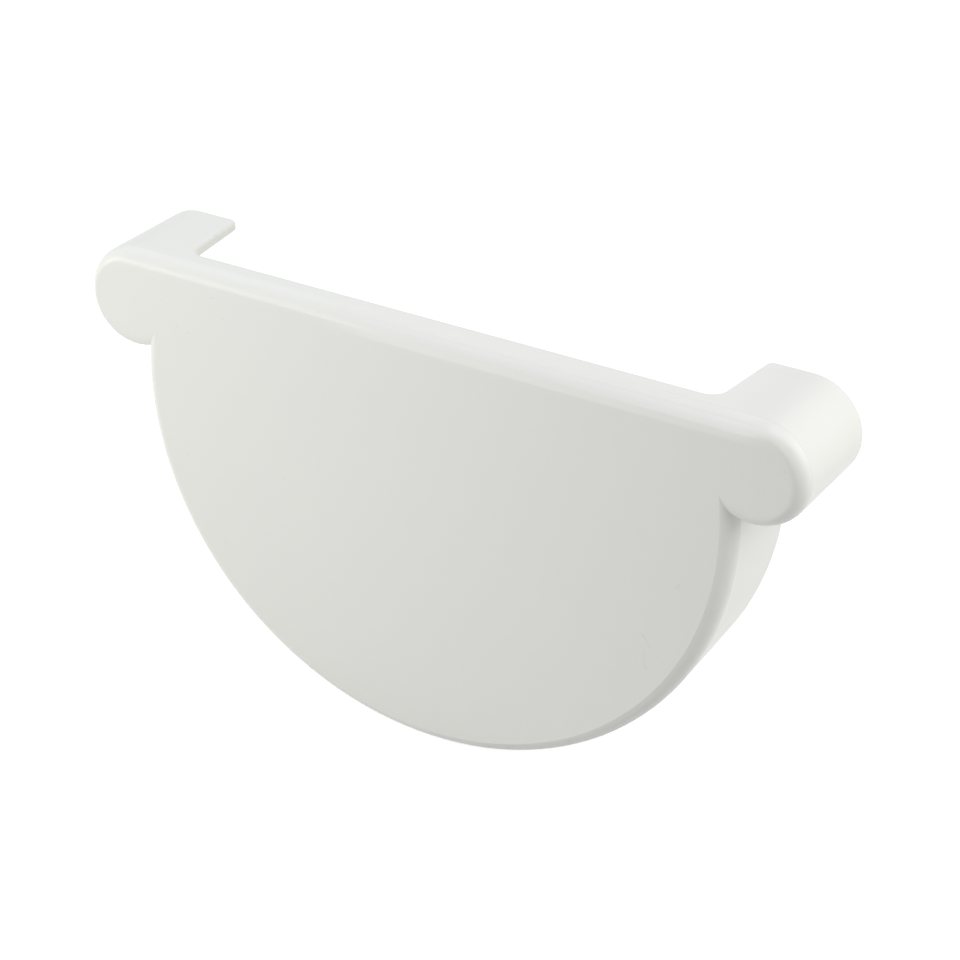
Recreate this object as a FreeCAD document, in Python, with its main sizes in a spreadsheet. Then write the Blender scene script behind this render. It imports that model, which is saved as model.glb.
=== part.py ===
# End cap for a half-round rain gutter: one injection-moulded piece of white PVC.
# X runs across the cap, Y along the gutter (away from the front face), Z up.
# The origin is on the gutter's axis, on the floor that the gutter's end butts against.
import FreeCAD
import Part
import Sketcher
import math
import os

V = FreeCAD.Vector

# How close, in mm, a point counts as being on a size
CLOSE = 0.01

# Driving dimensions: alias, value in mm (angles in degrees), what it is
SIZES = [
    ("gutter_dia", 125.0, "outside diameter of the gutter's half-round"),
    ("gutter_wall", 2.0, "wall of the gutter"),
    ("bead_dia", 16.4, "outside diameter of the rolled bead on each edge of the gutter"),
    ("bead_inset", 2.5, "how far the bead's inner side lies inside the gutter's outside"),
    ("bead_rise", 13.85, "height of the bead's centre above the gutter's axis"),
    ("socket_gap", 0.2, "gap round the gutter at the socket's floor"),
    ("mouth_ease", 0.3, "how much wider the socket is at its mouth, each side"),
    ("face_wall", 2.4, "thickness of the front face"),
    ("hook_wall", 2.1, "wall of the bead hooks and of the top rim"),
    ("hook_draft", 0.1, "how much the hooks shrink towards the mouth, each side"),
    ("skirt_root", 2.7, "wall of the half-round skirt at the parting line"),
    ("skirt_lip", 1.5, "wall of the half-round skirt at the mouth"),
    ("cap_depth", 24.7, "front face to mouth"),
    ("parting_depth", 3.3, "front face to the parting line"),
    ("rim_draft", 6.0, "slope of the front rim ahead of the parting line"),
    ("edge_radius", 3.6, "rounding of the front edge"),
    ("edge_break", 16.0, "angle at which that rounding leaves the face, as a fine line"),
    ("rim_depth", 6.7, "front face to the back of the top rim"),
    ("strip_reach", 11.1, "how far a top strip reaches in from the bead's centre, at the face"),
    ("strip_splay", 4.9, "angle of a strip's free edge to the gutter"),
    ("corner_radius", 3.1, "inner corner between the top rim and a strip"),
    ("tip_radius", 1.6, "corner at the free tip of a strip"),
    ("lip_radius", 0.6, "rounding outside the mouth and along the free top edges"),
    ("lead_chamfer", 0.5, "chamfer inside the mouth and on the rib, which leads the gutter in"),
    ("notch_radius", 0.8, "inside corner of the walls where a hook meets the skirt"),
    ("rib_gap", 0.35, "gap between the gutter's inside and the locating rib"),
    ("rib_wall", 1.8, "thickness of the locating rib"),
    ("rib_drop", 0.8, "how much lower than the top rim's back the locating rib ends"),
]

# Sizes worked out from the driving ones, as formulas in the same sheet
FORMULAS = [
    ("bead_x", "gutter_dia / 2 - bead_inset + bead_dia / 2", "bead centre from the middle"),
    ("socket_round", "gutter_dia / 2 + socket_gap", "half-round of the socket at its floor"),
    ("socket_bead", "bead_dia / 2 + socket_gap", "bead part of the socket at its floor"),
    ("socket_notch", "notch_radius + hook_wall", "notch of the socket, a wall away from the outer one"),
    ("mouth_round", "socket_round + mouth_ease", "half-round of the socket at its mouth"),
    ("mouth_bead", "socket_bead + mouth_ease", "bead part of the socket at its mouth"),
    ("lead_cut", "min(lead_chamfer; skirt_lip / 3)", "lead chamfer that the skirt's wall can take"),
    ("lead_round", "mouth_round + lead_cut", "half-round of the socket past its lead chamfer"),
    ("lead_bead", "mouth_bead + lead_cut", "bead part of the socket past its lead chamfer"),
    ("hook_out", "socket_bead + hook_wall", "outside of a hook at the parting line"),
    ("hook_mouth", "hook_out - hook_draft", "outside of a hook at the mouth"),
    ("skirt_out", "socket_round + skirt_root", "outside of the skirt at the parting line"),
    ("skirt_mouth", "mouth_round + skirt_lip", "outside of the skirt at the mouth"),
    ("lip_round", "min(lip_radius; skirt_lip / 2)", "lip rounding that the skirt's wall can take"),
    ("rib_cut", "min(lead_chamfer; rib_wall / 3)", "lead chamfer that the rib's wall can take"),
    ("middle_x", "0", "middle of the cap"),
    ("front_y", "-face_wall", "front face"),
    ("floor_y", "0", "floor of the socket"),
    ("parting_y", "parting_depth - face_wall", "parting line"),
    ("rim_y", "rim_depth - face_wall", "back of the top rim"),
    ("mouth_y", "cap_depth - face_wall", "mouth"),
    ("lead_y", "mouth_y - lead_cut", "where the lead chamfer starts"),
    ("opening_y", "mouth_y + hook_wall", "back of the top opening's cut, past the mouth"),
    ("rim_inset", "parting_depth * tan(rim_draft * 1 deg)", "front outline inside the parting line"),
    ("rim_side", "parting_depth / cos(rim_draft * 1 deg)", "length of the rim's slope without rounding"),
    ("rim_share", "(cos(edge_break * 1 deg) - sin(rim_draft * 1 deg)) / cos(rim_draft * 1 deg)",
     "how much slope a rounding of 1 takes up"),
    ("rim_round", "min(edge_radius; 0.95 * rim_side / rim_share)", "edge rounding that the rim can take"),
    ("rim_centre", "rim_round * cos(edge_break * 1 deg)", "centre of that rounding behind the face"),
    ("top_z", "bead_rise + hook_out", "top of the cap"),
    ("bar_z", "bead_rise - hook_wall", "underside of the face's bar, inside lobes and half-round"),
    ("bar_height", "hook_out + hook_wall", "height of the face's bar"),
    ("level_z", "bead_rise + hook_out / 2", "top of the face's half-round, inside the bar"),
    ("rim_under", "bead_rise + socket_bead", "underside of the top rim, at the floor"),
    ("strip_x", "bead_x - strip_reach", "free edge of a strip at the face, from the middle"),
    ("strip_root", "strip_x + rim_depth * tan(strip_splay * 1 deg)", "free edge of a strip at the rim"),
    ("strip_tip", "strip_x + cap_depth * tan(strip_splay * 1 deg)", "free edge of a strip at the mouth"),
    ("rib_out", "gutter_dia / 2 - gutter_wall - rib_gap", "outside of the locating rib"),
    ("rib_in", "rib_out - rib_wall", "inside of the locating rib"),
    ("rib_height", "rim_y - rib_drop", "height of the locating rib above the floor"),
    ("rib_top", "rim_under + hook_wall / 2", "ends of the locating rib, inside the top rim"),
]

# Sketch references: which point of a line or arc, and the sketch's own origin and upright axis
START, END, CENTRE = range(1, 4)
ORIGIN = (-1, 1)
LEVEL_AXIS, UPRIGHT_AXIS = -1, -2

doc = FreeCAD.newDocument("gutter_end_cap")
sheet = doc.addObject("Spreadsheet::Sheet", "Sizes")
rows = [(alias, str(value), note) for alias, value, note in SIZES]
rows += [(alias, "=" + formula, note) for alias, formula, note in FORMULAS]
for row, (alias, content, note) in enumerate(rows, 1):
    sheet.set(f"A{row}", alias)
    sheet.set(f"B{row}", content)
    sheet.set(f"C{row}", note)
    sheet.setAlias(f"B{row}", alias)
doc.recompute()

body = doc.addObject("PartDesign::Body", "end_cap")
body.Label = "end_cap"


def size(alias):
    return float(getattr(sheet, alias))


def new_sketch(name, plane, **offsets):
    # A sketch on one of the body's own planes, shifted by formulas along the plane's x, y or z
    sketch = body.newObject("Sketcher::SketchObject", name)
    support = [feature for feature in body.Origin.OriginFeatures if feature.Role == plane][0]
    sketch.AttachmentSupport = [(support, "")]
    sketch.MapMode = "FlatFace"
    for axis, formula in offsets.items():
        sketch.setExpression(f"AttachmentOffset.Base.{axis}", formula)
    return sketch


def fix(sketch, *constraints):
    for constraint in constraints:
        sketch.addConstraint(Sketcher.Constraint(*constraint))


def bind(sketch, formula, *constraint):
    # A dimension of the sketch, driven by the sheet
    index = sketch.addConstraint(Sketcher.Constraint(*constraint))
    sketch.setExpression(f"Constraints[{index}]", formula)


def arc(x, y, radius, start, end):
    return Part.ArcOfCircle(Part.Circle(V(x, y, 0), V(0, 0, 1), radius), start, end)


def closed_loop(sketch, corners):
    # Lines from corner to corner
    count = len(corners)
    for n in range(count):
        sketch.addGeometry(Part.LineSegment(V(*corners[n], 0), V(*corners[(n + 1) % count], 0)))
    for n in range(count):
        fix(sketch, ("Coincident", n, END, (n + 1) % count, START))


def add_feature(kind, name, profile, **settings):
    feature = body.newObject(f"PartDesign::{kind}", name)
    feature.Profile = profile
    for prop, value in settings.items():
        setattr(feature, prop, value)
    doc.recompute()
    return feature


def dress_edges(kind, name, amount, wanted):
    # Fillet or chamfer on the edges whose middle is wanted, and on those that run on smoothly from them
    base = body.Tip
    names = [f"Edge{n}" for n, edge in enumerate(base.Shape.Edges, 1) if wanted(edge.CenterOfMass)]
    feature = body.newObject(f"PartDesign::{kind}", name)
    feature.Base = (base, names)
    feature.setExpression("Radius" if kind == "Fillet" else "Size", f"Sizes.{amount}")
    doc.recompute()


def near(value, alias):
    return abs(value - size(alias)) < CLOSE


# Outline of the cap square to the gutter: a flat top between two bead lobes, over the half-round.
# A small arc rounds the notch where a lobe meets the half-round.
def cap_outline(name, depth, bead, half_round, notch):
    sketch = new_sketch(name, "XZ_Plane", z=f"-Sizes.{depth}")
    bead_x, bead_z = size("bead_x"), size("bead_rise")
    small, large, fill = size(bead), size(half_round), size(notch)
    # The notch arc touches both circles, so its centre, the middle and the bead's centre make a triangle
    reach, tilt = math.hypot(bead_x, bead_z), math.atan2(bead_z, bead_x)
    far, close = large + fill, small + fill
    round_end = tilt - math.acos((far**2 + reach**2 - close**2) / (2 * far * reach))
    bead_start = tilt - math.pi + math.acos((close**2 + reach**2 - far**2) / (2 * close * reach))
    notch_x, notch_z = far * math.cos(round_end), far * math.sin(round_end)
    top = bead_z + small
    flat, lobe_right, notch_right, skirt, notch_left, lobe_left = range(6)
    sketch.addGeometry(Part.LineSegment(V(-bead_x, top, 0), V(bead_x, top, 0)))
    sketch.addGeometry(arc(bead_x, bead_z, small, bead_start, math.pi / 2))
    sketch.addGeometry(arc(notch_x, notch_z, fill, math.pi + bead_start, math.pi + round_end))
    sketch.addGeometry(arc(0, 0, large, math.pi - round_end, 2 * math.pi + round_end))
    sketch.addGeometry(arc(-notch_x, notch_z, fill, -round_end, -bead_start))
    sketch.addGeometry(arc(-bead_x, bead_z, small, math.pi / 2, math.pi - bead_start))
    fix(sketch,
        ("Tangent", flat, START, lobe_left, START),
        ("Tangent", flat, END, lobe_right, END),
        ("Tangent", lobe_right, START, notch_right, START),
        ("Tangent", notch_right, END, skirt, END),
        ("Tangent", skirt, START, notch_left, START),
        ("Tangent", notch_left, END, lobe_left, END),
        ("Coincident", skirt, CENTRE, *ORIGIN),
        ("Equal", lobe_right, lobe_left),
        ("Equal", notch_right, notch_left),
        ("Symmetric", lobe_right, CENTRE, lobe_left, CENTRE, UPRIGHT_AXIS))
    bind(sketch, "Sizes.bead_x", "DistanceX", *ORIGIN, lobe_right, CENTRE, bead_x)
    bind(sketch, "Sizes.bead_rise", "DistanceY", *ORIGIN, lobe_right, CENTRE, bead_z)
    bind(sketch, f"Sizes.{bead}", "Radius", lobe_right, small)
    bind(sketch, f"Sizes.{half_round}", "Radius", skirt, large)
    bind(sketch, f"Sizes.{notch}", "Radius", notch_right, fill)
    return sketch


# Half section of the front rim: the face, the rounding beside it and the slope back to the parting line.
# The sketch's level axis is the centre line that the rim goes round.
def rim_section(name, side, rise, reach):
    sketch = new_sketch(name, "YZ_Plane", y=rise, z=side)
    front, parting, out = size("front_y"), size("parting_y"), size(reach)
    draft, leave = math.radians(size("rim_draft")), math.radians(size("edge_break"))
    radius = size("rim_round")
    corner, taken = out - size("rim_inset"), radius * size("rim_share")
    slope_x, slope_y = front + taken * math.cos(draft), corner + taken * math.sin(draft)
    centre_x, centre_y = front + size("rim_centre"), slope_y - radius * math.cos(draft)
    edge_y = centre_y + radius * math.sin(leave)
    axis, face, rounding, slope, back = range(5)
    sketch.addGeometry(Part.LineSegment(V(parting, 0, 0), V(front, 0, 0)))
    sketch.addGeometry(Part.LineSegment(V(front, 0, 0), V(front, edge_y, 0)))
    sketch.addGeometry(arc(centre_x, centre_y, radius, math.pi / 2 + draft, math.pi - leave))
    sketch.addGeometry(Part.LineSegment(V(slope_x, slope_y, 0), V(parting, out, 0)))
    sketch.addGeometry(Part.LineSegment(V(parting, out, 0), V(parting, 0, 0)))
    fix(sketch,
        ("Coincident", axis, END, face, START),
        ("Coincident", face, END, rounding, END),
        ("Tangent", rounding, START, slope, START),
        ("Coincident", slope, END, back, START),
        ("Coincident", back, END, axis, START),
        ("PointOnObject", axis, START, LEVEL_AXIS),
        ("PointOnObject", axis, END, LEVEL_AXIS),
        ("Vertical", face),
        ("Vertical", back))
    bind(sketch, "Sizes.face_wall", "DistanceX", axis, END, *ORIGIN, -front)
    bind(sketch, "Sizes.parting_depth", "DistanceX", axis, END, axis, START, parting - front)
    bind(sketch, f"Sizes.{reach}", "DistanceY", axis, START, slope, END, out)
    bind(sketch, "Sizes.rim_round", "Radius", rounding, radius)
    bind(sketch, "Sizes.rim_centre", "DistanceX", face, END, rounding, CENTRE, centre_x - front)
    bind(sketch, "Sizes.rim_draft * 1 deg", "Angle", slope, draft)
    return sketch


# Face: the half-round, cut level inside the bar across the top, then that bar with a lobe at each end
def make_face():
    section = rim_section("round_section", "0", "0", "skirt_out")
    add_feature("Revolution", "face_round", section, ReferenceAxis=(section, ["H_Axis"]), Angle=360)
    cut = new_sketch("level_cut", "XZ_Plane", z="-Sizes.front_y")
    half, low = size("skirt_out"), size("level_z")
    closed_loop(cut, [(-half, low), (half, low), (half, low + half), (-half, low + half)])
    bottom, right, top = range(3)
    fix(cut,
        ("Vertical", right),
        ("Symmetric", bottom, START, bottom, END, UPRIGHT_AXIS),
        ("Symmetric", top, START, top, END, UPRIGHT_AXIS))
    bind(cut, "Sizes.level_z", "DistanceY", *ORIGIN, bottom, START, low)
    bind(cut, "Sizes.skirt_out", "DistanceX", *ORIGIN, bottom, END, half)
    bind(cut, "Sizes.skirt_out", "DistanceY", right, START, right, END, half)
    add_feature("Pocket", "face_level", cut, Type="ThroughAll")
    bar = add_feature("Pad", "face_bar", rim_section("bar_section", "0", "Sizes.bar_z", "bar_height"))
    bar.Midplane = True
    bar.setExpression("Length", "2 * Sizes.bead_x")
    doc.recompute()
    for name, side in (("left", "-Sizes.bead_x"), ("right", "Sizes.bead_x")):
        section = rim_section(f"{name}_section", side, "Sizes.bead_rise", "hook_out")
        add_feature("Revolution", f"{name}_lobe", section, ReferenceAxis=(section, ["H_Axis"]),
                    Angle=270, Reversed=name == "left")


# Walls behind the parting line, tapering to the mouth, and the socket that takes the gutter's end
def make_walls():
    root = cap_outline("wall_root", "parting_y", "hook_out", "skirt_out", "notch_radius")
    mouth = cap_outline("wall_mouth", "mouth_y", "hook_mouth", "skirt_mouth", "notch_radius")
    add_feature("AdditiveLoft", "walls", root, Sections=[mouth], Ruled=True)
    floor = cap_outline("socket_floor", "floor_y", "socket_bead", "socket_round", "socket_notch")
    lead = cap_outline("socket_lead", "lead_y", "mouth_bead", "mouth_round", "socket_notch")
    mouth = cap_outline("socket_mouth", "mouth_y", "lead_bead", "lead_round", "socket_notch")
    add_feature("SubtractiveLoft", "socket", floor, Sections=[lead, mouth], Ruled=True)


# Top opening: leaves the rim along the face and a splayed strip over each bead
def make_top_opening():
    sketch = new_sketch("opening_plan", "XY_Plane", z="Sizes.top_z")
    root, tip, rim_y, back_y = size("strip_root"), size("strip_tip"), size("rim_y"), size("opening_y")
    closed_loop(sketch, [(-root, rim_y), (root, rim_y), (tip, back_y), (-tip, back_y)])
    rim, edge, back = range(3)
    fix(sketch,
        ("Symmetric", rim, START, rim, END, UPRIGHT_AXIS),
        ("Symmetric", back, START, back, END, UPRIGHT_AXIS))
    bind(sketch, "Sizes.strip_root", "DistanceX", *ORIGIN, rim, END, root)
    bind(sketch, "Sizes.rim_y", "DistanceY", *ORIGIN, rim, END, rim_y)
    bind(sketch, "Sizes.opening_y", "DistanceY", *ORIGIN, back, START, back_y)
    splay = math.radians(size("strip_splay"))
    bind(sketch, "90 deg - Sizes.strip_splay * 1 deg", "Angle", edge, math.pi / 2 - splay)
    opening = add_feature("Pocket", "top_opening", sketch)
    opening.setExpression("Length", "Sizes.hook_out")
    doc.recompute()
    dress_edges("Fillet", "strip_corners", "corner_radius", lambda p: near(abs(p.x), "strip_root"))
    dress_edges("Fillet", "strip_tips", "tip_radius", lambda p: near(abs(p.x), "strip_tip"))


# Lip: one smooth edge runs along the back of the rim, round both strips and outside the mouth
def make_lip():
    dress_edges("Fillet", "lip", "lip_round",
                lambda p: near(p.x, "middle_x") and near(p.y, "rim_y") and p.z > size("rib_top"))


# Locating rib: with the top rim it makes a low ring that the gutter's end goes round
def make_rib():
    sketch = new_sketch("rib_plan", "XZ_Plane", z="-Sizes.floor_y")
    inner, outer, top = size("rib_in"), size("rib_out"), size("rib_top")
    lift_in, lift_out = math.asin(top / inner), math.asin(top / outer)
    x_in, x_out = inner * math.cos(lift_in), outer * math.cos(lift_out)
    outside, inside, end_right, end_left = range(4)
    sketch.addGeometry(arc(0, 0, outer, math.pi - lift_out, 2 * math.pi + lift_out))
    sketch.addGeometry(arc(0, 0, inner, math.pi - lift_in, 2 * math.pi + lift_in))
    sketch.addGeometry(Part.LineSegment(V(x_in, top, 0), V(x_out, top, 0)))
    sketch.addGeometry(Part.LineSegment(V(-x_out, top, 0), V(-x_in, top, 0)))
    fix(sketch,
        ("Coincident", outside, CENTRE, *ORIGIN),
        ("Coincident", inside, CENTRE, *ORIGIN),
        ("Coincident", inside, END, end_right, START),
        ("Coincident", end_right, END, outside, END),
        ("Coincident", outside, START, end_left, START),
        ("Coincident", end_left, END, inside, START),
        ("Horizontal", end_right),
        ("Horizontal", end_left),
        ("Symmetric", outside, START, outside, END, UPRIGHT_AXIS))
    bind(sketch, "Sizes.rib_out", "Radius", outside, outer)
    bind(sketch, "Sizes.rib_in", "Radius", inside, inner)
    bind(sketch, "Sizes.rib_top", "DistanceY", *ORIGIN, end_right, START, top)
    rib = add_feature("Pad", "rib", sketch, Reversed=True)
    rib.setExpression("Length", "Sizes.rib_height")
    doc.recompute()
    dress_edges("Chamfer", "rib_edges", "rib_cut",
                lambda p: near(p.x, "middle_x") and near(p.y, "rib_height") and p.z < 0)


make_face()
make_walls()
make_top_opening()
make_lip()
make_rib()

# Nothing is written unless every object is sound
for item in doc.Objects:
    if "Invalid" in item.State or "Error" in item.State:
        raise RuntimeError(f"{item.Name}: {item.State}")
shape = body.Shape
if shape.isNull() or not shape.isValid() or len(shape.Solids) != 1:
    raise RuntimeError("end_cap is not one valid solid")
os.makedirs("parts", exist_ok=True)
shape.exportStep(f"parts/{body.Label}.step")
box = shape.optimalBoundingBox()
print(f"end_cap: {box.XLength:.2f} x {box.YLength:.2f} x {box.ZLength:.2f} mm, {shape.Volume:.0f} mm3")
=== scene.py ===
import bpy
import math
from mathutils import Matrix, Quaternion, Vector


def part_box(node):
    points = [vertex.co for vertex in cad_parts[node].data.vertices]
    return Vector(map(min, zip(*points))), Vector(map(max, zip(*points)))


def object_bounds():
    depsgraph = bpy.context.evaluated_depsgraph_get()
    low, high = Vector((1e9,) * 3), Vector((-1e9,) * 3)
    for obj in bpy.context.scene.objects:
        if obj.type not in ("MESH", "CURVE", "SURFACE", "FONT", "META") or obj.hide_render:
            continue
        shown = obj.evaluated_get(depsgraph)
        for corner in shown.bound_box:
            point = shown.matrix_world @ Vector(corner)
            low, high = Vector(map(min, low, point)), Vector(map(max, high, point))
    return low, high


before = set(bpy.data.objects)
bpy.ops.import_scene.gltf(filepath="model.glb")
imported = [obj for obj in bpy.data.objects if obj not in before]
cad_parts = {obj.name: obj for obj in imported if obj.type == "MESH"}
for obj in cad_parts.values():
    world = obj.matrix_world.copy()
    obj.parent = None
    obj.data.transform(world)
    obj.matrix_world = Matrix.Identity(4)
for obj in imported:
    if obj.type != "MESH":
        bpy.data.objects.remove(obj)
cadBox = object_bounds()
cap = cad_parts["end_cap"]
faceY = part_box("end_cap")[0].y      # front face of the cap
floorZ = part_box("end_cap")[0].z     # lowest point of its half-round
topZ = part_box("end_cap")[1].z       # top of the bar and the lobes
rightX = cadBox[1][0]               # outer side of the right-hand lobe
mm = 0.001                          # for the marks, which are given in millimetres
print("frame loaded:", sorted(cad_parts))

scene = bpy.context.scene
scene.view_settings.view_transform = "Standard"


class NodeBoard:
    # small helper that adds nodes to one material or world and wires them up
    def __init__(self, owner):
        owner.use_nodes = True
        self.tree = owner.node_tree
        self.tree.nodes.clear()

    def add(self, kind, inputs=None, **settings):
        node = self.tree.nodes.new("ShaderNode" + kind)
        for name, value in settings.items():
            setattr(node, name, value)
        for socket, value in (inputs or {}).items():
            if isinstance(value, bpy.types.NodeSocket):
                self.tree.links.new(value, node.inputs[socket])
            else:
                node.inputs[socket].default_value = value
        return node

    def math(self, operation, *values):
        return self.add("Math", dict(enumerate(values)), operation=operation).outputs[0]

    def ramp(self, value, low, high, fromLow=0.0, fromHigh=1.0, smooth=False):
        kind = "SMOOTHSTEP" if smooth else "LINEAR"
        numbers = {"Value": value, "From Min": fromLow, "From Max": fromHigh, "To Min": low, "To Max": high}
        return self.add("MapRange", numbers, interpolation_type=kind).outputs[0]

    def noise(self, place, size, detail):
        return self.add("TexNoise", {"Vector": place, "Scale": 1 / size, "Detail": detail}).outputs[0]

    def seen(self):
        # 1 for what the eye sees, straight or in a reflection, and 0 for light that falls on things
        ray = self.add("LightPath").outputs
        mirrored = self.math("MAXIMUM", ray["Is Glossy Ray"], ray["Is Transmission Ray"])
        return self.math("MAXIMUM", ray["Is Camera Ray"], mirrored)


# white PVC of the cap, all lengths in metres
whitePvc = {
    "colour": (0.851, 0.86, 0.81),
    "roughness": (0.29, 0.36),          # between the smoothest and the dullest patches
    "roughnessOver": (0.6, 1.4),        # sum of clouds and streaks that it runs over
    "ior": 1.53,
    "clouding": 0.006,                  # how far the colour drifts from patch to patch
    "cloudSize": 0.03,
    "cloudDetail": 1.0,
    "grainSize": 0.0008,                # fine texture of the mould's surface
    "grainDetail": 2.0,
    "grainHeight": 0.0000005,
    "waveSize": 0.025,                  # slow waviness from the moulding's shrinkage
    "waveDetail": 0.0,
    "waveHeight": 0.00001,
    "streakSize": (0.05, 0.004, 0.0012),        # polishing streaks along the cap's edge
    "streakDetail": 1.0,
    "streakHeight": 0.000004,
    "speckSpacing": 0.012,              # tiny inclusions, here and there
    "speckRadius": 0.00022,
    "speckShade": 0.05,
    "partingDepth": 0.0033,             # painted shade of the small step at the mould's parting line, from the front face
    "partingWidth": 0.0003,
    "partingPaintedShade": 0.045,
    "partingLeft": 0.2,                 # share of it that shows on the left
    "partingFrom": (0.03, 0.065),       # it grows between these to full strength at the right
}

# the face rolls off a little below the top edge, on the right half only
topRoll = {
    "start": 0.0043,                    # below the top
    "end": 0.0009,
    "sink": 0.0013,
    "curve": 1.5,
    "from": (-0.03, 0.006),             # fades in towards the right
    "to": (0.06, 0.072),                # and ends at the lobe
}

# edge of the lobes, softer than along the half-round and almost sharp underneath
softEdge = {
    "lobeRadius": 0.0105,
    "sector": (-1.9, -0.9),             # angles round the lobe, from the notch to its lower side
    "limit": (0.0004, 0.0015),          # how far in the edge keeps its full slope, at these angles
    "width": 0.0011,
    "lobes": (0.064, 0.072),            # whole at the lobes, less on the left of the bar
    "bar": (-0.03, 0.0),
    "barShare": 0.6,
    "depth": 0.0022,                    # as far behind the face as it counts
}

# marks of handling on the face: start, end (x and z in mm), half width in mm, how much darker
faceMarks = [
    ((-54.1, 10.6), (-53.8, 10.5), 0.30, 0.077),
    ((-56.9, 11.3), (-56.6, 11.2), 0.25, 0.066),
    ((-48.2, 19.5), (-47.5, 19.5), 0.22, 0.066),
    ((-45.5, 15.8), (-45.5, 15.6), 0.22, 0.077),
    ((-55.4, -17.0), (-55.3, -16.8), 0.25, 0.066),
    ((-32.2, -15.5), (-32.1, -15.3), 0.25, 0.066),
    ((-46.9, -34.5), (-46.8, -34.3), 0.25, 0.066),
    ((54.9, -12.9), (55.4, -12.0), 0.28, 0.066),
    ((48.7, -28.0), (49.2, -32.0), 0.28, 0.035),
    ((48.4, -24.8), (50.2, -27.6), 0.30, 0.045),
    ((48.3, -25.0), (48.6, -25.3), 0.25, 0.055),
    ((49.3, -31.9), (49.6, -31.9), 0.28, 0.044),
    ((74.5, 17.0), (74.8, 16.8), 0.25, 0.066),
]


def strokeMask(board, place, start, end, halfWidth):
    # 1 along the stroke, fading to 0 at its edge
    along = end - start
    fromStart = board.add("VectorMath", {0: place, 1: start}, operation="SUBTRACT").outputs[0]
    inverse = along / along.length_squared
    share = board.add("VectorMath", {0: fromStart, 1: inverse}, operation="DOT_PRODUCT").outputs["Value"]
    share = board.add("Clamp", {"Value": share}).outputs[0]
    nearest = board.add("VectorMath", {0: along, "Scale": share}, operation="SCALE").outputs[0]
    gap = board.add("VectorMath", {0: fromStart, 1: nearest}, operation="DISTANCE").outputs["Value"]
    return board.ramp(gap, 1.0, 0.0, 0.0, halfWidth, smooth=True)


def rollHeight(board, x, z, roll):
    # sinks faster and faster on the way up from the roll's start
    climb = board.ramp(z, 0.0, 1.0, topZ - roll["start"], topZ - roll["end"])
    depth = board.math("MULTIPLY", board.math("POWER", climb, roll["curve"]), -roll["sink"])
    fadeIn = board.ramp(x, 0.0, 1.0, *roll["from"], smooth=True)
    fadeOut = board.ramp(x, 1.0, 0.0, *roll["to"], smooth=True)
    return board.math("MULTIPLY", depth, board.math("MULTIPLY", fadeIn, fadeOut))


def reachFrom(board, across, up):
    # distance from a centre, seen from the front
    spot = board.add("CombineXYZ", {0: across, 1: up}).outputs[0]
    return board.add("VectorMath", {0: spot}, operation="LENGTH").outputs["Value"]


def softNormal(board, x, y, z, edge):
    # turns the surface towards the face just inside the edge
    beadX = rightX - edge["lobeRadius"]         # middle of the right-hand lobe, the left one mirrored
    beadZ = topZ - edge["lobeRadius"]
    across = board.math("ABSOLUTE", x)
    above = board.math("GREATER_THAN", z, beadZ)
    below = board.math("SUBTRACT", 1.0, above)
    up = board.math("SUBTRACT", z, beadZ)
    out = board.math("SUBTRACT", across, beadX)
    innermost = board.math("MULTIPLY", below, -1.0)     # on the bar only the height counts
    out = board.math("MAXIMUM", out, innermost)
    gap = board.math("SUBTRACT", edge["lobeRadius"], reachFrom(board, out, up))
    limit = board.ramp(board.math("ARCTAN2", up, out), *edge["limit"], *edge["sector"])
    turn = board.ramp(board.math("SUBTRACT", gap, limit), 0.0, 1.0, 0.0, edge["width"], smooth=True)

    # the half-round's own edge stays as it is
    onLobe = board.math("GREATER_THAN", gap, board.math("SUBTRACT", -floorZ, reachFrom(board, x, z)))
    share = board.math("MAXIMUM", board.ramp(across, 0.0, 1.0, *edge["lobes"]),
                       board.ramp(x, edge["barShare"], 0.0, *edge["bar"]))
    front = board.math("LESS_THAN", y, faceY + edge["depth"])
    for part in (board.math("MAXIMUM", above, onLobe), board.math("MAXIMUM", below, share), front):
        turn = board.math("MULTIPLY", turn, part)
    ahead = (0.0, -1.0, 0.0)                    # the way the face looks
    normal = board.add("NewGeometry").outputs["Normal"]
    away = board.add("VectorMath", {0: ahead, 1: normal}, operation="SUBTRACT").outputs[0]
    mixed = board.add("VectorMath", {0: away, 1: turn, 2: normal}, operation="MULTIPLY_ADD").outputs[0]
    return board.add("VectorMath", {0: mixed}, operation="NORMALIZE").outputs[0]


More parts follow.
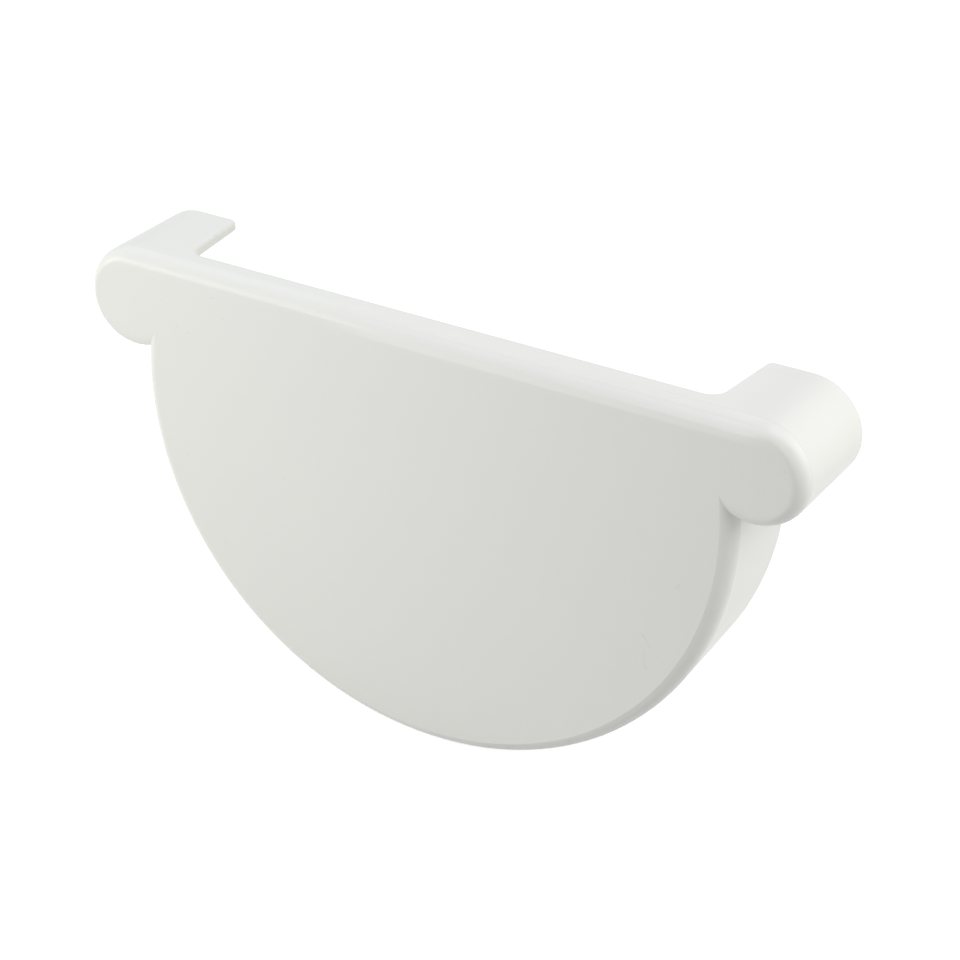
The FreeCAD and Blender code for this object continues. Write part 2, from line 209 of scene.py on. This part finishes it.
def makeWhitePvc(look):
    material = bpy.data.materials.new("whitePvc")
    material.cycles.use_bump_map_correction = False     # lets the light from above reach the roll-off
    board = NodeBoard(material)
    place = board.add("TexCoord").outputs["Object"]
    x, y, z = board.add("SeparateXYZ", {0: place}).outputs

    # colour: clouds, then marks, specks and the painted shade along the parting line
    clouds = board.noise(place, look["cloudSize"], look["cloudDetail"])
    shade = board.ramp(clouds, 1 - look["clouding"], 1 + look["clouding"])
    for (startX, startZ), (endX, endZ), halfWidth, darker in faceMarks:
        start = Vector((startX * mm, faceY, startZ * mm))
        end = Vector((endX * mm, faceY, endZ * mm))
        mark = strokeMask(board, place, start, end, halfWidth * mm)
        shade = board.math("MULTIPLY", shade, board.ramp(mark, 1.0, 1 - darker))
    cells = board.add("TexVoronoi", {"Vector": place, "Scale": 1 / look["speckSpacing"]})
    dot = board.ramp(cells.outputs["Distance"], look["speckShade"], 0.0, 0.0,
                     look["speckRadius"] / look["speckSpacing"], smooth=True)
    shade = board.math("SUBTRACT", shade, dot)
    # painted shade: a thin darker line along the step at the parting line, stronger towards the right
    fromParting = board.math("ABSOLUTE", board.math("SUBTRACT", y, faceY + look["partingDepth"]))
    paintedSeamShade = board.ramp(fromParting, look["partingPaintedShade"], 0.0, 0.0, look["partingWidth"], smooth=True)
    paintedSeamShade = board.math("MULTIPLY", paintedSeamShade, board.ramp(x, look["partingLeft"], 1.0, *look["partingFrom"]))
    shade = board.math("SUBTRACT", shade, paintedSeamShade)
    tint = board.add("VectorMath", {0: look["colour"], "Scale": shade}, operation="SCALE").outputs[0]

    # surface: the roll-off with grain, waves and streaks on it, heights in metres
    grain = board.noise(place, look["grainSize"], look["grainDetail"])
    waves = board.noise(place, look["waveSize"], look["waveDetail"])
    stretched = board.add("VectorMath", {0: place, 1: look["streakSize"]}, operation="DIVIDE").outputs[0]
    streaks = board.noise(stretched, 1.0, look["streakDetail"])
    height = rollHeight(board, x, z, topRoll)
    for layer, amount in ((grain, "grainHeight"), (waves, "waveHeight"), (streaks, "streakHeight")):
        height = board.math("MULTIPLY_ADD", layer, look[amount], height)
    edgeNormal = softNormal(board, x, y, z, softEdge)
    bump = board.add("Bump", {"Height": height, "Distance": 1.0, "Normal": edgeNormal})

    rough = board.ramp(board.math("ADD", clouds, streaks), *look["roughness"], *look["roughnessOver"])
    shader = board.add("BsdfPrincipled", {"Base Color": tint, "Roughness": rough, "IOR": look["ior"],
                                          "Normal": bump.outputs[0]})
    board.add("OutputMaterial", {"Surface": shader.outputs[0]})
    return material


cap.data.materials[0] = makeWhitePvc(whitePvc)
print("finish: white PVC with", len(faceMarks), "marks on", cap.name)

# pale floor under the cap: white to the eye, with the cap's soft shadow left on it
paleFloor = {
    "side": 6.0,
    "colour": (0.47, 0.47, 0.47),
    "glow": 0.84,               # lifts the floor to white in the picture, and lights nothing
}


def makeFloor(look):
    half = look["side"] / 2
    mesh = bpy.data.meshes.new("paleFloor")
    corners = [(-half, -half, floorZ), (half, -half, floorZ), (half, half, floorZ), (-half, half, floorZ)]
    mesh.from_pydata(corners, [], [(0, 1, 2, 3)])
    floor = bpy.data.objects.new("paleFloor", mesh)
    scene.collection.objects.link(floor)
    material = bpy.data.materials.new("paleFloor")
    board = NodeBoard(material)
    lit = board.add("BsdfDiffuse", {"Color": (*look["colour"], 1.0)})
    glow = board.add("Emission", {"Strength": board.math("MULTIPLY", board.seen(), look["glow"])})
    both = board.add("AddShader", {0: lit.outputs[0], 1: glow.outputs[0]})
    board.add("OutputMaterial", {"Surface": both.outputs[0]})
    mesh.materials.append(material)


makeFloor(paleFloor)
print("floor at", round(floorZ, 4))

# studio: white surroundings for the eye and for reflections, a dim sky for the rest
studioSky = {
    "colour": (1.0, 1.0, 1.0),
    "white": 1.0,
    "fill": 0.355,
}


def makeSky(look):
    world = bpy.data.worlds.new("studioSky")
    scene.world = world
    board = NodeBoard(world)
    strength = board.ramp(board.seen(), look["fill"], look["white"])
    sky = board.add("Background", {"Color": (*look["colour"], 1.0), "Strength": strength})
    board.add("OutputWorld", {"Surface": sky.outputs[0]})


makeSky(studioSky)
print("sky set")

# soft boxes: where each is, the point it is turned to, its width and height, its power in watts, its hue
tallBox = 0.3                   # heights of the boxes that stand on the floor
lowBox = 0.2
tallMid = floorZ + tallBox / 2
lowMid = floorZ + lowBox / 2
softBoxes = {
    "frontPanel": {"place": (-0.125, -0.2165, lowMid), "aim": (0.0, 0.0, lowMid), "size": (0.2, lowBox),
                   "power": 0.199, "colour": (1.02, 1.01, 1.06)},
    "keyLeft": {"place": (-0.604, -0.349, tallMid), "aim": (0.0, 0.0, tallMid), "size": (0.35, tallBox),
                "power": 1.23, "colour": (0.96, 1.0, 0.8)},
    "sideRight": {"place": (0.573, 0.11, 0.3815), "aim": (0.0, 0.0, -0.02), "size": (0.55, 0.55),
                  "power": 1.64, "colour": (0.95, 1.0, 0.78)},
    "rightPanel": {"place": (0.2415, 0.0647, tallMid), "aim": (0.0, 0.0, tallMid), "size": (0.15, tallBox),
                   "power": 0.095, "colour": (1.04, 1.0, 1.2)},
    "overhead": {"place": (0.2, -0.08, 0.7), "aim": (0.2, -0.08, 0.0), "size": (0.5, 0.5),
                 "power": 1.42, "colour": (1.1, 1.02, 1.3)},
    "backLeft": {"place": (-0.3, 0.22, 0.3), "aim": (-0.3, 0.22, 0.0), "size": (0.3, 0.45),
                 "power": 0.357, "colour": (0.88, 1.0, 1.06)},
}


def turnTo(thing, aim):
    # rotation that points a lamp or a camera at a place
    return (Vector(aim) - thing.location).to_track_quat("-Z", "Y")


def makeSoftBox(name, look):
    lamp = bpy.data.lights.new(name, "AREA")
    lamp.shape = "RECTANGLE"
    lamp.size, lamp.size_y = look["size"]
    lamp.energy = look["power"]
    lamp.color = look["colour"]
    box = bpy.data.objects.new(name, lamp)
    box.location = look["place"]
    box.rotation_mode = "QUATERNION"
    box.rotation_quaternion = turnTo(box, look["aim"])
    scene.collection.objects.link(box)


for name, look in softBoxes.items():
    makeSoftBox(name, look)
print("lights:", ", ".join(softBoxes))

# camera at the photograph's angle
photoCamera = {
    "place": (0.25070, -0.40035, 0.24980),
    "aim": (0.012762, -0.002191, -0.002849),
    "roll": 0.766,              # degrees
    "lens": 105.82,             # mm
    "sensor": 36.0,             # mm
    "clipStart": 0.01,
}


def makeCamera(look):
    data = bpy.data.cameras.new("photoCamera")
    data.sensor_width = look["sensor"]
    data.lens = look["lens"]
    data.clip_start = look["clipStart"]
    camera = bpy.data.objects.new("photoCamera", data)
    camera.location = look["place"]
    camera.rotation_mode = "QUATERNION"
    roll = Quaternion((0, 0, 1), math.radians(look["roll"]))
    camera.rotation_quaternion = turnTo(camera, look["aim"]) @ roll
    scene.collection.objects.link(camera)
    scene.camera = camera


makeCamera(photoCamera)
print("camera set")
